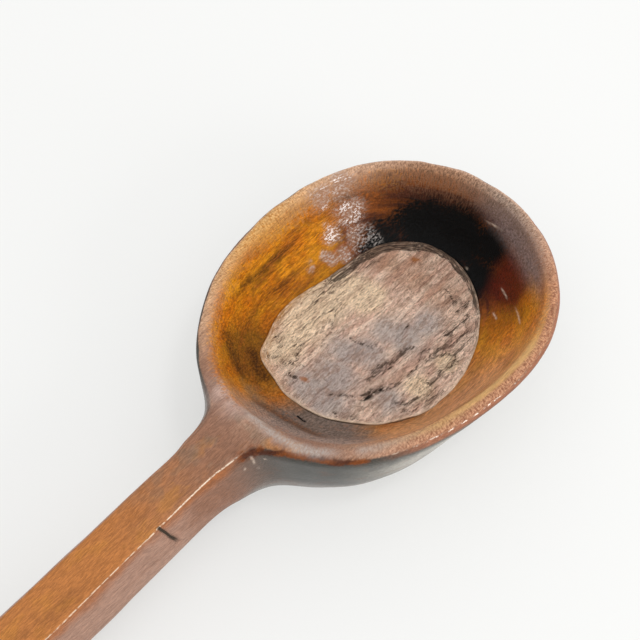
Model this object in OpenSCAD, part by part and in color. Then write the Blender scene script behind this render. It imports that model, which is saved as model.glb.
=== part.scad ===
// Hand-carved wooden ladle: a shallow oval bowl on a thick straight handle, cut from one billet.
// The ladle lies on z = 0 on the flat of its bowl and on the end of its handle. The origin is the
// centre of the bowl on that plane, +X points to the far tip of the bowl and the handle runs to -X.

/* [Bowl] */
// Length of the rim from the handle side to the far tip
bowl_l = 138; // [115:1:160]
// Width of the rim
bowl_w = 111; // [95:1:130]
// Height of the rim above the table
bowl_h = 36; // [30:1:50]
// Turn of the hand-cut oval away from the handle's line, in degrees
bowl_turn = -4.5; // [-8:0.5:8]
// How much blunter the far end is than the handle side
egg = 1.2; // [0:0.1:3]
// Width of the rim's top, from its outer to its inner edge
rim_w = 6; // [5:0.5:9]
// Radius of the rim's outer edge
rim_round = 3; // [1.5:0.5:3.5]
// Radius of the rim's inner edge
inner_round = 1.4; // [0.6:0.1:1.5]
// Width of the rim's top at the soft lip, where the neck runs into the hollow
lip_w = 10; // [9.5:0.5:12]
// Radius of the soft lip
lip_round = 6; // [2:0.5:6]
// Length of the flat oval base
base_l = 114; // [95:1:120]
// Width of the flat oval base
base_w = 68; // [50:1:75]
// How far the base's middle lies towards the handle
base_shift = 13; // [6:1:16]
// Sharpness of the fillet between the neck and the bowl on the -Y side: more is sharper
fillet_right = 4.5; // [3:0.5:14]
// Sharpness of the fillet between the neck and the bowl on the +Y side
fillet_left = 4; // [3:0.5:14]

/* [Hollow] */
// Depth of the hollow from the rim to the rough floor
hollow_depth = 25; // [16:1:26]
// Length of the oval floor
floor_l = 88; // [70:1:95]
// Width of the oval floor
floor_w = 66; // [55:1:75]
// How much flatter the floor is cut on its +Y side than on the other
floor_skew = 2; // [0:0.5:3]
// How far the floor's middle lies towards the -Y side
floor_shift = 2.4; // [0:0.2:3]
// Thickness of the rough floor layer at its edge
floor_t = 2.4; // [1.5:0.1:4]
// How far the floor layer dips in the middle
floor_dish = 1; // [0:0.1:1.4]
// Gap all round the floor layer
floor_gap = 0.1; // [0.05:0.05:0.5]

/* [Handle] */
// Distance from the bowl's centre to the end of the handle
handle_reach = 272; // [200:1:330]
// Distance from the bowl's centre to the end of the neck
neck_reach = 98; // [90:1:115]
// How far inside the rim the neck starts to form
neck_bite = 11; // [6:1:16]
// How far inside the rim the underside starts to rise to the neck
heel_bite = 14; // [8:1:20]
// Width of the handle's flat top where it leaves the neck
top_w = 14.6; // [10:0.2:20]
// Width of the handle's flat top near its end
top_w_end = 18; // [12:0.2:24]
// How far each side flares out below the top edge
side_flare = 5; // [2:0.2:7]
// Thickness of the handle at the neck
handle_t = 21.5; // [16:0.5:24]
// Thickness of the handle at its end
handle_t_end = 18; // [14:0.5:22]
// Radius of the handle's top edges
edge_round = 1.2; // [0.6:0.1:2]
// Length of the flat under the handle's end
rest_l = 30; // [20:1:40]
// Length of the rounding at the handle's end
end_round = 13; // [8:0.5:16]
// Diameter of the hanging hole
hole_d = 8; // [5:0.5:10]
// Distance from the hanging hole to the handle's end
hole_inset = 17; // [14:0.5:30]

/* [Hidden] */

// Colours of the dark polished bowl, the lighter handle and the bare floor
bowl_colour = "#6b3f22";
handle_colour = "#8a5836";
floor_colour = "#c2a083";

// Steps of one half of a ring: along the neck's side and round the bowl
NECK_STEPS = 6;
BOWL_STEPS = 24;
HALF = NECK_STEPS + BOWL_STEPS;

// Directions, in degrees from the far tip, between which the outer wall turns into the heel
HEEL_FROM = 85;
HEEL_TO = 145;
// Direction of the lip's middle, and how far it reaches to each side, in degrees
LIP_AT = -162;
LIP_SPAN = 42;
// Turn of the floor's flat side away from the +Y side, in degrees
FLAT_TURN = 10;
// Levels of the outer wall, from the base (1) to the rim (0)
WALL_LEVELS = [1, 0.86, 0.72, 0.58, 0.44, 0.3, 0.16, 0];
// Levels of the hollow, from the rim (0) to the floor (1)
HOLLOW_LEVELS = [0, 0.12, 0.28, 0.45, 0.62, 0.8, 1];
// Degrees round a rounded edge, from its side (0) to its top (90)
ROLL = [30, 60, 90];
INNER_ROLL = [90, 60, 30];
// Degrees round the handle's end, and shares of the floor layer's radius
END_ROLL = [0, 20, 40, 58, 74, 84];
FLOOR_SHARES = [1, 0.7, 0.4, 0.15];

// Mean radii, and the waves that draw a circle out into an oval
rim_mean = (bowl_l + bowl_w) / 4;
rim_wave = (bowl_l - bowl_w) / 4;
floor_mean = (floor_l + floor_w) / 4;
floor_wave = (floor_l - floor_w) / 4;

// Heights of the floor layer's edge and of the seat under it
floor_z = bowl_h - hollow_depth;
seat_z = floor_z - floor_t;

// Distances behind the bowl's centre at which the top starts to slope, the neck leaves the oval,
// the underside starts to rise and the flat under the handle's end starts
slope_start = bowl_l / 2;
neck_root = slope_start - neck_bite;
heel_start = slope_start - heel_bite;
rest_start = handle_reach - rest_l;
top_slope = (bowl_h - handle_t_end) / (handle_reach - slope_start);

// A value part of the way from a to b, a smooth step, and the larger of two radii with a fillet
function mix(a, b, share) = a + (b - a) * share;
function ease(share) = let(c = max(0, min(1, share))) c * c * (3 - 2 * c);
function filleted(a, b, sharpness) = pow(pow(a, sharpness) + pow(b, sharpness), 1 / sharpness);

// One point of a cubic Bezier curve
function bezier(p, t) =
    p[0] * pow(1 - t, 3)
    + p[1] * 3 * t * pow(1 - t, 2)
    + p[2] * 3 * t * t * (1 - t)
    + p[3] * pow(t, 3);

// Radii in the direction a of the rim's outer edge, its inner edge, the floor and the base, which
// is an ellipse whose middle lies base_shift behind the bowl's
function rim_r(a) = rim_mean + rim_wave * cos(2 * (a - bowl_turn)) - egg * cos(3 * a);
function inner_r(a) = rim_r(a) - mix(rim_w, lip_w, lip(a));
function floor_r(a) =
    floor_mean + floor_wave * cos(2 * (a - bowl_turn))
    + floor_skew * sin(3 * (a + FLAT_TURN)) - floor_shift * sin(a);
function base_r(a) =
    let(l = base_l / 2, w = base_w / 2)
    let(k = pow(cos(a) / l, 2) + pow(sin(a) / w, 2), m = base_shift * cos(a) / (l * l))
    (sqrt(m * m + k * (1 - pow(base_shift / l, 2))) - m) / k;

// How much of the steep heel and of the soft lip there is in the direction a, from 0 to 1
function heel(a) = ease((abs(a) - HEEL_FROM) / (HEEL_TO - HEEL_FROM));
function lip(a) = ease(1 - abs((a - LIP_AT + 540) % 360 - 180) / LIP_SPAN);

// Top, underside and half width of the flat top at the distance d behind the centre
function top_z(d) = bowl_h - top_slope * max(0, d - slope_start);
function under_z(d) =
    let(neck_z = top_z(neck_reach) - handle_t)
    d < neck_reach
        ? neck_z * ease((d - heel_start) / (neck_reach - heel_start))
        : neck_z * max(0, (rest_start - d) / (rest_start - neck_reach));
function top_half(d) = mix(top_w, top_w_end, (d - neck_reach) / (handle_reach - neck_reach)) / 2;

// Way in and drop of the bowl's outer wall at a level t, as shares of the whole way from the rim to
// the base. The heel's steep wall is the second curve, and h is how much of it there is
function bowl_wall(t, h) =
    bezier([[0, 0], mix([0.15, 0.35], [-0.1, 0.5], h), mix([0.55, 1], [0, 1], h), [1, 1]], t);
// Flare and drop of the handle's side, as shares of its greatest flare and its thickness
function handle_side(t) = bezier([[0, 0], [0.8, 0.45], [1.95, 1], [-0.6, 1]], t);
// Inset and drop of the hollow's wall, as shares of its run and depth
function hollow_wall(t) = bezier([[0, 0], [0.2, 0.42], [0.62, 0.92], [1, 1]], t);

// Half width and height of the handle's or neck's skin, at a level t and a roll r
function side_half(d, t, r) = top_half(d) + side_flare * handle_side(t)[0] - edge_round * (1 - cos(r));
function side_z(d, t, r) =
    mix(top_z(d) - edge_round, under_z(d), handle_side(t)[1]) + edge_round * sin(r);

// Radius and height of the bowl's outer skin in the direction a
function skin_r(a, t, r) =
    mix(rim_r(a), base_r(a), bowl_wall(t, heel(a))[0]) - rim_round * (1 - cos(r));
function skin_z(a, d, t, r) =
    mix(bowl_h - rim_round, under_z(d), bowl_wall(t, heel(a))[1]) + rim_round * sin(r);

// Direction of ring point s, from -HALF at one corner of the neck's end, through 0 at the far tip,
// to HALF at the other. The neck is as wide as end_half at its end, and as root_half at its root
function ring_a(s, end_half, root_half) =
    let(along = (HALF - abs(s)) / NECK_STEPS, round = 1 - abs(s) / BOWL_STEPS)
    sign(s) * (
        along <= 1
            ? atan2(mix(end_half, root_half, along), -mix(neck_reach, neck_root, along))
            : atan2(root_half, -neck_root) * (1 - pow(round, 1.15))
    );
function ring_steps() = [-HALF : HALF];

// One ring of the outer skin of the bowl and its neck. The fillet fades out towards the neck's end
function outer_ring(t, r) = [
    for (s = ring_steps())
        let(a = ring_a(s, side_half(neck_reach, t, r), side_half(neck_root, t, r)))
        let(bowl_part = skin_r(a, t, r), back = max(0, -cos(a)))
        let(neck_part = back > 0 ? side_half(bowl_part * back, t, r) / max(0.001, abs(sin(a))) : 0)
        let(to_end = back > 0 ? neck_reach / back : bowl_l)
        let(fillet = filleted(bowl_part, neck_part, s < 0 ? fillet_right : fillet_left))
        let(share_left = ease((neck_reach - back * neck_part) / (neck_reach - slope_start)))
        let(joined = mix(max(bowl_part, neck_part), fillet, share_left))
        let(radius = abs(s) == HALF ? to_end : min(to_end, joined))
        let(d = -radius * cos(a), share = ease((d - neck_root) / (neck_reach - neck_root)))
        [radius * cos(a), radius * sin(a), mix(skin_z(a, d, t, r), side_z(d, t, r), share)]
];

// One ring of the hollow, and one of the floor layer's outline at a share of its radius
function hollow_ring(t, r) = [
    for (s = ring_steps())
        let(a = ring_a(s, top_half(neck_reach), top_half(neck_root)), wall = hollow_wall(t))
        let(edge = mix(inner_round, lip_round, lip(a)))
        let(radius = mix(inner_r(a), floor_r(a), wall[0]) + edge * (1 - cos(r)))
        [radius * cos(a), radius * sin(a), mix(bowl_h - edge, floor_z, wall[1]) + edge * sin(r)]
];
function floor_ring(share, gap, z) = [
    for (s = ring_steps())
        let(a = ring_a(s, top_half(neck_reach), top_half(neck_root)), radius = (floor_r(a) - gap) * share)
        [radius * cos(a), radius * sin(a), z]
];

// One section across the handle, narrowed to a share of its width near the rounded end
function handle_section(d, share) =
    let(half = concat([for (t = WALL_LEVELS) [t, 0]], [for (r = ROLL) [0, r]]))
    let(left = [for (p = half) [-d, share * side_half(d, p[0], p[1]), side_z(d, p[0], p[1])]])
    concat([for (p = left) [p[0], -p[1], p[2]]], [for (i = [len(left) - 1 : -1 : 0]) left[i]]);

// A closed skin over rings that hold the same number of points. Strips that join each point
// to its partner across the middle close the first and the last ring
module ring_stack(rings) {
    n = len(rings[0]);
    last = (len(rings) - 1) * n;
    sides = [
        for (k = [0 : len(rings) - 2], i = [0 : n - 1])
            let(a = k * n + i, b = k * n + (i + 1) % n)
            each [[a, a + n, b + n], [a, b + n, b]]
    ];
    cap = [
        for (i = [0 : ceil(n / 2) - 2])
            let(a = i, b = i + 1, c = n - 2 - i, d = n - 1 - i)
            each b == c ? [[a, b, d]] : [[a, b, c], [a, c, d]]
    ];
    last_cap = [for (f = cap) [last + f[2], last + f[1], last + f[0]]];
    polyhedron(points = [for (ring = rings) each ring], faces = concat(sides, cap, last_cap));
}

// The hollowed cup with its rim, its heel and the neck
module bowl() {
    outside = concat([for (t = WALL_LEVELS) outer_ring(t, 0)], [for (r = ROLL) outer_ring(0, r)]);
    inside = concat([for (r = INNER_ROLL) hollow_ring(0, r)], [for (t = HOLLOW_LEVELS) hollow_ring(t, 0)]);
    color(bowl_colour) ring_stack(concat(outside, inside, [floor_ring(1, 0, seat_z)]));
}

// The rough bare layer on the bottom of the hollow, slightly dished
module bowl_floor() {
    top = [for (q = FLOOR_SHARES) floor_ring(q, floor_gap, floor_z - floor_dish * (1 - q * q))];
    color(floor_colour) ring_stack(concat([floor_ring(1, floor_gap, seat_z)], top));
}

// The shank, from the neck to its rounded end
module shank() {
    straight = handle_reach - end_round;
    ring_stack([
        handle_section(neck_reach, 1),
        handle_section(mix(neck_reach, rest_start, 1 / 3), 1),
        handle_section(mix(neck_reach, rest_start, 2 / 3), 1),
        handle_section(rest_start, 1),
        for (r = END_ROLL) handle_section(straight + end_round * sin(r), cos(r))
    ]);
}

// The handle with its hanging hole
module handle() {
    color(handle_colour) difference() {
        shank();
        translate([hole_inset - handle_reach, 0, -1]) cylinder(h = bowl_h, d = hole_d, $fn = 48);
    }
}

bowl();
handle();
bowl_floor();
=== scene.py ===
# Hand-carved wooden ladle: the skin of its bowl and handle, and the rough bare floor of its bowl
import math

import bmesh
import bpy
import numpy as np
from mathutils import Matrix, Vector
from mathutils.bvhtree import BVHTree
from mathutils.kdtree import KDTree


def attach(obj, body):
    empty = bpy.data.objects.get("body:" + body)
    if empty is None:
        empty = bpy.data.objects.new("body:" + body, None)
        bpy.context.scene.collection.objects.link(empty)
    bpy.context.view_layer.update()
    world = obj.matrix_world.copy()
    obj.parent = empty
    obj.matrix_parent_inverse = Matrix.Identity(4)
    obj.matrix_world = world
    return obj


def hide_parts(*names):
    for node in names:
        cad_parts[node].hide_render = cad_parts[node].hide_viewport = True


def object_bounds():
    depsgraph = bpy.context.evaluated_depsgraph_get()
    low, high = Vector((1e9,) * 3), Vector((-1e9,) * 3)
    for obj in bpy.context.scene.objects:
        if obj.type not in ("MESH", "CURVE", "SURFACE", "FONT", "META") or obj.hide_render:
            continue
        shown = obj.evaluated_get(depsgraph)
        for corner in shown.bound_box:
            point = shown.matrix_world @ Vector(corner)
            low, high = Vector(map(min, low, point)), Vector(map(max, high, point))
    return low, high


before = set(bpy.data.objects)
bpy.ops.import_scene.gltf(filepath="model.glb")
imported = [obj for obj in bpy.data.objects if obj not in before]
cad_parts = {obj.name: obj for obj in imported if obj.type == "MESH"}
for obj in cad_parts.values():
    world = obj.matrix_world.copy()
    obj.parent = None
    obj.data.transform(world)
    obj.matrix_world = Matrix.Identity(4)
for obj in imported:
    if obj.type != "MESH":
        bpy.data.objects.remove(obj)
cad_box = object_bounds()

MM = 0.001

# Sizes of the ladle in millimetres, named and laid out as in the CAD source
bowl_l, bowl_w, bowl_h, bowl_turn, egg = 138, 111, 36, -4.5, 1.2
rim_w, rim_round, inner_round = 6, 3, 1.4
lip_w, lip_round, lip_at, lip_span = 10, 6, -162, 42
base_l, base_w, base_shift = 114, 68, 13
fillet_right, fillet_left = 4.5, 4
hollow_depth, floor_l, floor_w, floor_t, floor_dish = 25, 88, 66, 2.4, 1
floor_skew, floor_shift, flat_turn = 2, 2.4, 10
handle_reach, neck_reach, neck_bite, heel_bite = 272, 98, 11, 14
top_w, top_w_end, side_flare = 14.6, 18, 5
handle_t, handle_t_end, edge_round = 21.5, 18, 1.2
rest_l, end_round, hole_d, hole_inset = 30, 13, 8, 17
heel_from, heel_to = 85, 145

# Values that follow from them
rim_mean, rim_wave = (bowl_l + bowl_w) / 4, (bowl_l - bowl_w) / 4
floor_mean, floor_wave = (floor_l + floor_w) / 4, (floor_l - floor_w) / 4
floor_z = bowl_h - hollow_depth
seat_z = floor_z - floor_t
slope_start = bowl_l / 2
neck_root, heel_start = slope_start - neck_bite, slope_start - heel_bite
rest_start = handle_reach - rest_l
top_slope = (bowl_h - handle_t_end) / (handle_reach - slope_start)

# Steps of one half of a ring along the neck and round the bowl, and across the neck's end
NECK_STEPS, BOWL_STEPS, END_STEPS = 36, 150, 11
HALF = NECK_STEPS + BOWL_STEPS
SKIN_MM = 0.72


# Shape of the ladle

def mix(a, b, share):
    return a + (b - a) * share


def ease(share):
    c = np.clip(share, 0, 1)
    return c * c * (3 - 2 * c)


def cosd(a):
    return np.cos(np.radians(a))


def sind(a):
    return np.sin(np.radians(a))


def atan2d(y, x):
    return np.degrees(np.arctan2(y, x))


def bezier(p, t):
    """Point of a cubic curve whose control values may differ from place to place."""
    return p[0] * (1 - t) ** 3 + p[1] * 3 * t * (1 - t) ** 2 + p[2] * 3 * t * t * (1 - t) + p[3] * t**3


def heel(a):
    return ease((abs(a) - heel_from) / (heel_to - heel_from))


def lip(a):
    return ease(1 - abs((a - lip_at + 540) % 360 - 180) / lip_span)


def rim_r(a):
    return rim_mean + rim_wave * cosd(2 * (a - bowl_turn)) - egg * cosd(3 * a)


def inner_r(a):
    return rim_r(a) - mix(rim_w, lip_w, lip(a))


def floor_r(a):
    oval = floor_mean + floor_wave * cosd(2 * (a - bowl_turn))
    return oval + floor_skew * sind(3 * (a + flat_turn)) - floor_shift * sind(a)


def base_r(a):
    l, w = base_l / 2, base_w / 2
    k = (cosd(a) / l) ** 2 + (sind(a) / w) ** 2
    m = base_shift * cosd(a) / (l * l)
    return (np.sqrt(m * m + k * (1 - (base_shift / l) ** 2)) - m) / k


def top_z(d):
    return bowl_h - top_slope * np.maximum(0, d - slope_start)


def under_z(d):
    """Height of the underside, which rises from the bowl to the neck and falls to the handle's end."""
    neck_z = top_z(neck_reach) - handle_t
    rising = neck_z * ease((d - heel_start) / (neck_reach - heel_start))
    falling = neck_z * np.maximum(0, (rest_start - d) / (rest_start - neck_reach))
    return np.where(d < neck_reach, rising, falling)


def top_half(d):
    return mix(top_w, top_w_end, (d - neck_reach) / (handle_reach - neck_reach)) / 2


def bowl_wall(t, h):
    """Way in and drop of the outer wall; h is how much of the heel's steep wall there is."""
    way_in = bezier((0, mix(0.15, -0.1, h), mix(0.55, 0, h), 1), t)
    drop = bezier((0, mix(0.35, 0.5, h), 1, 1), t)
    return way_in, drop


def handle_side(t):
    return bezier((0, 0.8, 1.95, -0.6), t), bezier((0, 0.45, 1, 1), t)


def hollow_wall(t):
    return bezier((0, 0.2, 0.62, 1), t), bezier((0, 0.42, 0.92, 1), t)


def side_half(d, t, r):
    return top_half(d) + side_flare * handle_side(t)[0] - edge_round * (1 - cosd(r))


def side_z(d, t, r):
    return mix(top_z(d) - edge_round, under_z(d), handle_side(t)[1]) + edge_round * sind(r)


def ring_directions(end_half, root_half):
    """Directions in degrees, from one corner of the neck's end round the bowl to the other."""
    s = np.arange(-HALF, HALF + 1)
    along = (HALF - abs(s)) / NECK_STEPS
    left = np.clip(1 - abs(s) / BOWL_STEPS, 0, 1)
    neck = atan2d(mix(end_half, root_half, along), -mix(neck_reach, neck_root, along))
    cup = atan2d(root_half, -neck_root) * (1 - left**1.15)
    return np.sign(s) * np.where(along <= 1, neck, cup)


def closed_ring(ring, gap):
    """Ring that starts in the middle of its gap, which is filled with the points given."""
    middle = len(gap) // 2
    return np.concatenate([gap[middle:], ring, gap[:middle]])


def outer_ring(t, r):
    """Ring of the outer skin of the bowl and its neck, at a level t and a roll r."""
    a = ring_directions(side_half(neck_reach, t, r), side_half(neck_root, t, r))
    way_in, drop = bowl_wall(t, heel(a))
    bowl_part = mix(rim_r(a), base_r(a), way_in) - rim_round * (1 - cosd(r))
    back = np.maximum(1e-3, -cosd(a))
    neck_part = side_half(bowl_part * back, t, r) / np.maximum(1e-3, abs(sind(a)))
    neck_part = side_half(np.minimum(neck_part * back, neck_reach), t, r) / np.maximum(1e-3, abs(sind(a)))
    neck_part = np.where(cosd(a) < 0, neck_part, 0)
    sharpness = np.where(a < 0, fillet_right, fillet_left)
    fillet = (bowl_part**sharpness + neck_part**sharpness) ** (1 / sharpness)
    share_left = ease((neck_reach - back * neck_part) / (neck_reach - slope_start))
    joined = mix(np.maximum(bowl_part, neck_part), fillet, share_left)
    radius = np.minimum(neck_reach / back, joined)
    radius[[0, -1]] = neck_reach / back[[0, -1]]
    d = -radius * cosd(a)
    skin_z = mix(bowl_h - rim_round, under_z(d), drop) + rim_round * sind(r)
    z = mix(skin_z, side_z(d, t, r), ease((d - neck_root) / (neck_reach - neck_root)))
    ring = np.stack([radius * cosd(a), radius * sind(a), z], 1)
    shares = np.linspace(0, 1, 2 * END_STEPS + 3)[1:-1, None]
    return closed_ring(ring, mix(ring[-1], ring[0], shares))


def hollow_directions():
    a = ring_directions(top_half(neck_reach), top_half(neck_root))
    gap = np.linspace(a[-1], 360 + a[0], 2 * END_STEPS + 3)[1:-1]
    return closed_ring(a, gap)


def hollow_ring(t, r):
    """Ring of the hollow, at a level t and a roll r."""
    a = hollow_directions()
    inset, drop = hollow_wall(t)
    edge = mix(inner_round, lip_round, lip(a))
    radius = mix(inner_r(a), floor_r(a), inset) + edge * (1 - cosd(r))
    z = mix(bowl_h - edge, floor_z, drop) + edge * sind(r)
    return np.stack([radius * cosd(a), radius * sind(a), z], 1)


def handle_section(d, share):
    """Section across the handle, narrowed to a share of its width near the rounded end."""
    levels = [(t, 0) for t in np.linspace(1, 0, 28)] + [(0, r) for r in (15, 30, 45, 60, 75, 90)]
    half = [(share * side_half(d, t, r), side_z(d, t, r)) for t, r in levels]
    top = [(half[-1][0] * (1 - k / 4), half[-1][1]) for k in range(1, 4)]
    left = half + top
    points = [(-d, -y, z) for y, z in left] + [(-d, 0, half[-1][1])] + [(-d, y, z) for y, z in reversed(left)]
    return np.array(points + [(-d, 0, half[0][1])])


def ring_stack(name, rings):
    """Closed mesh over rings that hold the same number of points."""
    n = len(rings[0])
    last = (len(rings) - 1) * n
    faces = []
    for k in range(len(rings) - 1):
        for i in range(n):
            j = (i + 1) % n
            faces.append((k * n + i, k * n + j, (k + 1) * n + j, (k + 1) * n + i))
    for start in (0, last):
        for i in range(n // 2):
            corners = [i, i + 1, n - i - 1, (n - i) % n]
            corners = [c for k, c in enumerate(corners) if c not in corners[:k]]
            if len(corners) > 2:
                faces.append([start + c for c in corners])
    mesh = bpy.data.meshes.new(name)
    mesh.from_pydata(np.concatenate(rings) * MM, [], faces)
    piece = bpy.data.objects.new(name, mesh)
    bpy.context.scene.collection.objects.link(piece)
    return piece


def carved_cup():
    outside = [outer_ring(t, 0) for t in np.linspace(1, 0, 50)]
    outside += [outer_ring(0, r) for r in np.linspace(0, 90, 9)[1:]]
    inside = [hollow_ring(0, r) for r in np.linspace(90, 0, 9)]
    inside += [hollow_ring(t, 0) for t in np.linspace(0, 1, 60)[1:]]
    seat = inside[-1].copy()
    seat[:, 2] = seat_z
    top = [mix(outside[-1], inside[0], share) for share in (0.2, 0.4, 0.6, 0.8)]
    return ring_stack("cup", outside + top + inside + [seat])


def carved_shank():
    straight = handle_reach - end_round
    sections = [handle_section(d, 1) for d in np.linspace(neck_reach - 5, straight, 70)]
    for r in np.linspace(0, 88, 20)[1:]:
        sections.append(handle_section(straight + end_round * sind(r), cosd(r)))
    return ring_stack("shank", sections)


def with_modifier(piece, kind, **settings):
    """The piece's mesh with one modifier applied to it."""
    modifier = piece.modifiers.new("once", kind)
    for key, value in settings.items():
        setattr(modifier, key, value)
    graph = bpy.context.evaluated_depsgraph_get()
    mesh = bpy.data.meshes.new_from_object(piece.evaluated_get(graph))
    piece.modifiers.clear()
    piece.data = mesh
    return piece


def round_bar(x, diameter):
    """Upright bar that cuts the hanging hole."""
    mesh = bpy.data.meshes.new("bar")
    bar = bmesh.new()
    bmesh.ops.create_cone(bar, cap_ends=True, segments=96, radius1=diameter / 2 * MM, radius2=diameter / 2 * MM,
                          depth=0.08, matrix=Matrix.Translation((x * MM, 0, 0)))
    bar.to_mesh(mesh)
    bar.free()
    piece = bpy.data.objects.new("bar", mesh)
    bpy.context.scene.collection.objects.link(piece)
    return piece


def removed(*pieces):
    for piece in pieces:
        bpy.data.objects.remove(piece)


def points_of(mesh):
    co = np.empty(len(mesh.vertices) * 3)
    mesh.vertices.foreach_get("co", co)
    return co.reshape(-1, 3) / MM


def set_points(mesh, points):
    mesh.vertices.foreach_set("co", (points * MM).ravel())
    mesh.update()


def normals_of(mesh):
    n = np.empty(len(mesh.vertices) * 3)
    mesh.vertex_normals.foreach_get("vector", n)
    return n.reshape(-1, 3)


def keep(mesh, name, values):
    """Stores one number per point, for the materials."""
    mesh.attributes.new(name, "FLOAT", "POINT").data.foreach_set("value", values.astype(np.float32))


def whole_skin():
    """Even skin over the cup and the shank, as one billet."""
    cup, shank = carved_cup(), carved_shank()
    bar = round_bar(hole_inset - handle_reach, hole_d)
    shank = with_modifier(shank, "BOOLEAN", object=bar, operation="DIFFERENCE", solver="EXACT")
    billet = bmesh.new()
    for piece in (cup, shank):
        billet.from_mesh(piece.data)
    mesh = bpy.data.meshes.new("skin")
    billet.to_mesh(mesh)
    billet.free()
    skin = bpy.data.objects.new("skin", mesh)
    bpy.context.scene.collection.objects.link(skin)
    removed(cup, shank, bar)
    return with_modifier(skin, "REMESH", mode="VOXEL", voxel_size=SKIN_MM * MM)


# Places on the skin

def edge_curve():
    """Points along the ladle's outer top edge, from the handle's end round the bowl and back."""
    straight = handle_reach - end_round
    turns = np.linspace(0, 88, 30)
    end_d, end_share = straight + end_round * sind(turns), cosd(turns)
    shank_d = np.arange(neck_reach + 0.5, straight, 0.5)
    d = np.concatenate([shank_d, end_d])
    share = np.concatenate([np.ones(len(shank_d)), end_share])
    side = np.stack([-d, share * side_half(d, 0, 45), side_z(d, 0, 45)], 1)
    right = side * (1, -1, 1)
    around = outer_ring(0, 45)[END_STEPS + 1:-END_STEPS]
    return np.concatenate([right[::-1], around, side])


def nearest_on(curve, points):
    """Distance of each point from the curve, and how far along the curve its nearest place lies."""
    tree = KDTree(len(curve))
    for i, place in enumerate(curve):
        tree.insert(place, i)
    tree.balance()
    index = np.array([tree.find(p)[1] for p in points])
    steps = np.gradient(curve, axis=0)
    length = np.linalg.norm(steps, axis=1)
    so_far = np.concatenate([[0], np.cumsum(np.linalg.norm(np.diff(curve, axis=0), axis=1))])
    away = points - curve[index]
    onward = (away * steps[index]).sum(1) / length[index]
    beside = np.sqrt(np.maximum(0, (away * away).sum(1) - onward**2))
    return beside, so_far[index] + onward


def bumps(points, size, seed):
    """Smooth noise from -1 to 1, with bumps of the given size along x, y and z."""
    table = np.random.default_rng(seed).uniform(-1, 1, (32, 32, 32))
    place = points / np.array(size) + 100
    cell = np.floor(place).astype(int)
    f = place - cell
    f = f * f * (3 - 2 * f)
    total = np.zeros(len(points))
    for corner in np.ndindex(2, 2, 2):
        weight = np.prod(np.where(corner, f, 1 - f), axis=1)
        i, j, k = ((cell + corner) % 32).T
        total += weight * table[i, j, k]
    return total


def stain(direction, level, middle, span, height, reach):
    """Soft patch on the hollow's wall, 1 in its middle; directions and spans are in degrees."""
    turn = ((direction - middle + 540) % 360 - 180) / span
    rise = (level - height) / reach
    return np.exp(-(turn * turn + rise * rise))


# Camera, as fitted to the photograph. The picture is 640 px square, and the middle of the bowl, at the
# rim's height, shows at aim_px
PICTURE = 640
focal_px, aim_px = 800, (380.47, 293.87)
elevation, azimuth, distance = 60.54, -135.41, 282.31


def camera_axes():
    back = Vector((cosd(azimuth) * cosd(elevation), sind(azimuth) * cosd(elevation), sind(elevation)))
    right = Vector((-sind(azimuth), cosd(azimuth), 0))
    return right, back.cross(right), back


def camera_place():
    right, up, back = camera_axes()
    aside = (aim_px[0] - PICTURE / 2) / focal_px * distance
    above = (PICTURE / 2 - aim_px[1]) / focal_px * distance
    return Vector((0, 0, bowl_h)) - right * aside - up * above + back * distance


def set_up_camera():
    camera = bpy.data.objects.new("camera", bpy.data.cameras.new("camera"))
    camera.data.sensor_width = 36
    camera.data.lens = focal_px / PICTURE * camera.data.sensor_width
    camera.data.clip_start = 0.01
    turn = Matrix(camera_axes()).transposed().to_4x4()
    camera.matrix_world = Matrix.Translation(camera_place() * MM) @ turn
    bpy.context.scene.collection.objects.link(camera)
    bpy.context.scene.camera = camera


def sight(pixel):
    """Direction in which a pixel of the photograph lies from the camera."""
    right, up, back = camera_axes()
    return (right * (pixel[0] - PICTURE / 2) + up * (PICTURE / 2 - pixel[1]) - back * focal_px).normalized()


def seen_on(surface, pixel):
    """The place, in millimetres, where a pixel of the photograph meets a surface."""
    return np.array(surface.ray_cast(camera_place() * MM, sight(pixel))[0]) / MM


def seen_at_height(height, pixel):
    """The place, in millimetres, where a pixel of the photograph meets a level plane."""
    place, ray = camera_place(), sight(pixel)
    return np.array(place + ray * ((height - place.z) / ray.z))


def off_stroke(points, start, end):
    """Distance of each point from the straight stroke between two places."""
    run = end - start
    share = np.clip((points - start) @ run / (run @ run), 0, 1)
    return np.linalg.norm(points - start - share[:, None] * run, axis=1)


def patches(points, places, sizes):
    """Soft round patches of the given sizes round some places."""
    away = [np.linalg.norm(points - place, axis=1) / size for place, size in zip(places, sizes)]
    return np.exp(-np.min(away, axis=0) ** 2)


def along_line(points, places, width, taper=0.0):
    """Soft mask, 1 on a line through some places, which fades over a share of the line at each end."""
    strokes = list(zip(places, places[1:]))
    away = np.array([off_stroke(points, a, b) for a, b in strokes])
    nearest = np.argmin(away, axis=0)
    starts, runs = np.array([a for a, b in strokes])[nearest], np.array([b - a for a, b in strokes])[nearest]
    within = np.clip(((points - starts) * runs).sum(1) / (runs * runs).sum(1), 0, 1)
    share = (nearest + within) / len(strokes)
    ends = ease(np.minimum(share, 1 - share) / taper) if taper else 1
    return ends * np.exp(-(away.min(axis=0) / width) ** 2)


# The carved skin of the bowl and the handle. Marks are named by the pixels where the photograph shows them

notch_px, pit_px = ((157, 527), (179, 542)), ((297, 414), (307, 421))
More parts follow.
